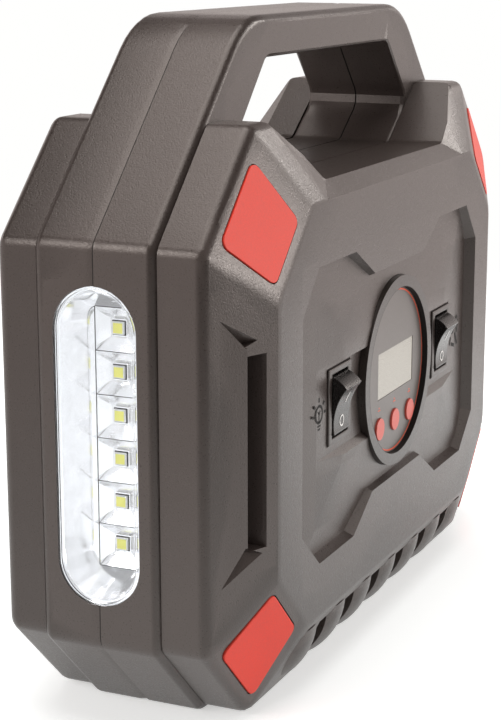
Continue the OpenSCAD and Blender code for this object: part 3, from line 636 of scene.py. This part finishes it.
def lamp_sign():
    """A bulb with its filament and neck, and rays round its top.

    A stroke is its place in x and z, its width and height, and its turn in degrees.
    """
    at_x, at_z = -86.5, 117.0
    filament = ((0, -1.4, 0.85, 4.6, 0), (0.6, 0.6, 0.75, 2.2, 40), (-0.6, 0.6, 0.75, 2.2, -40))
    neck = ((0, -4.9, 3.25, 0.8, 0), (0, -6.3, 2.45, 0.8, 0))
    ray_r, ray_w, ray_h = 6.1, 1.2, 2.0
    bm = bmesh.new()
    ring(bm, radius=3.5, stroke=1.2)
    for stroke in filament + neck:
        bar(bm, *stroke)
    for turn in (-90, -50, 0, 50, 90):
        angle = math.radians(turn)
        bar(bm, ray_r * math.sin(angle), ray_r * math.cos(angle), ray_w, ray_h, turn)
    moved(bm.verts, at_x, PLATE_Y - INK, at_z)
    show("lamp_sign", bm, "print_black")


def air_sign():
    """A gauge with its hose, in strokes like the lamp's sign."""
    at_x, at_z, wider, taller = 87.4, 117.6, 1.35, 1.5
    hose = ((2.6, 3.6, 1.25, 3.7, 60), (4.2, 1.0, 1.25, 4.3, 10), (3.0, -3.0, 1.25, 4.9, -30),
            (-0.6, -4.6, 3.75, 1.2, 15), (-3.6, -3.0, 1.25, 2.9, 30))
    bm = bmesh.new()
    moved(ring(bm, radius=2.4, stroke=1.1), x=-1.5, z=2.0)
    for stroke in hose:
        bar(bm, *stroke)
    bmesh.ops.scale(bm, verts=bm.verts, vec=(wider, 1, taller))
    moved(bm.verts, at_x, PLATE_Y - INK, at_z)
    show("air_sign", bm, "print_black")


def disc_print():
    """The ring line of the display, and two short strokes above each button."""
    ink, line_r, line_w = 0.04, 36.6, 0.7
    strokes, stroke_h = ((8.5, 3.0), (9.6, 1.6)), 0.5
    y = DISC_Y - ink
    bm = bmesh.new()
    moved(ring(bm, line_r, line_w, sides=96), y=y, z=DISPLAY_Z)
    for button in ("button_left", "button_middle", "button_right"):
        at = middle(button)
        for above, wide in strokes:
            moved(bar(bm, at.x, at.z + above, wide, stroke_h), y=y)
    show("disc_print", bm, "print_orange")


for rocker in ("lamp_rocker", "compressor_rocker"):
    rocker_marks(rocker)
lamp_sign()
air_sign()
disc_print()


# ---------------------------------------------------------------- floor, room and lights, in metres
def floor():
    """A pale floor that keeps the shadow and fades into the background."""
    half = 6
    bm = bmesh.new()
    bmesh.ops.create_grid(bm, x_segments=1, y_segments=1, size=half)
    me = bpy.data.meshes.new("floor")
    bm.to_mesh(me)
    bm.free()
    finish = Finish("floor")
    far = finish.calc("ShaderNodeVectorMath", "LENGTH", finish.place)
    white = finish.ramp(finish.axis(finish.place, "X"), 0.10, 0.5, at_low=0.5, at_high=1.25)
    shown = finish.seen("Is Transmission Ray", "Is Glossy Ray")
    glow = finish.calc("ShaderNodeMath", "MULTIPLY", white, shown)
    shade = finish.mix(finish.noise(scale=3), (0.80, 0.86, 0.88), (0.84, 0.90, 0.92))
    fade = finish.ramp(far, 0.35, 0.9, at_low=1.0, at_high=0.0)
    finish.give(Base_Color=shade, Roughness=0.9, Alpha=fade, Emission_Color=(1.0, 0.99, 0.98),
                Emission_Strength=glow)
    me.materials.append(finish.material)
    ob = bpy.data.objects.new("floor", me)
    scene.collection.objects.link(ob)


def room():
    """White to the camera; to the object, white low down, dark above and dim at the front left."""
    low, high, dim = (1.1, 0.99, 0.95), (0.10, 0.092, 0.088), (0.29, 0.264, 0.25)
    front_left = (-0.6, -0.8, 0)
    scene.world = bpy.data.worlds.new("world")
    nodes = Nodes(scene.world)
    way = nodes.add("ShaderNodeTexCoord").outputs["Generated"]
    soft = {"interpolation_type": "SMOOTHSTEP"}
    above = nodes.ramp(nodes.axis(way, "Z"), 0.26, 0.55, **soft)
    towards = nodes.calc("ShaderNodeVectorMath", "DOT_PRODUCT", way, front_left)
    walls = nodes.mix(nodes.ramp(towards, 0.1, 0.8, **soft), nodes.mix(above, low, high), dim)
    sky = nodes.mix(nodes.seen("Is Transmission Ray"), walls, (1.0, 1.0, 0.99))
    nodes.feed(sky, nodes.tree.nodes["Background"].inputs["Color"])


def area(name, place, aim_z, size, power, colour=(1.0, 0.95, 0.92)):
    """A rectangular light that shines on the object's middle axis at this height."""
    light = bpy.data.lights.new(name, "AREA")
    light.shape = "RECTANGLE"
    light.size, light.size_y = size
    light.energy = power
    light.color = colour
    ob = bpy.data.objects.new(name, light)
    ob.location = place
    ob.rotation_mode = "QUATERNION"
    ob.rotation_quaternion = (Vector(place) - Vector((0, 0, aim_z))).to_track_quat("Z", "Y")
    scene.collection.objects.link(ob)


floor()
room()
area("overhead", (-0.15, 0.05, 1.5), aim_z=0.15, size=(1.2, 1.2), power=16)
area("left_back", (-1.4, 0.7, 1.0), aim_z=0.15, size=(0.5, 0.8), power=10)
area("key", (1.6, -1.1, 0.9), aim_z=0.12, size=(0.6, 0.5), power=8, colour=(1.0, 0.96, 0.92))
area("front", (0.9, -1.9, 0.35), aim_z=0.12, size=(0.9, 0.5), power=15)

scene.view_settings.view_transform = "Standard"
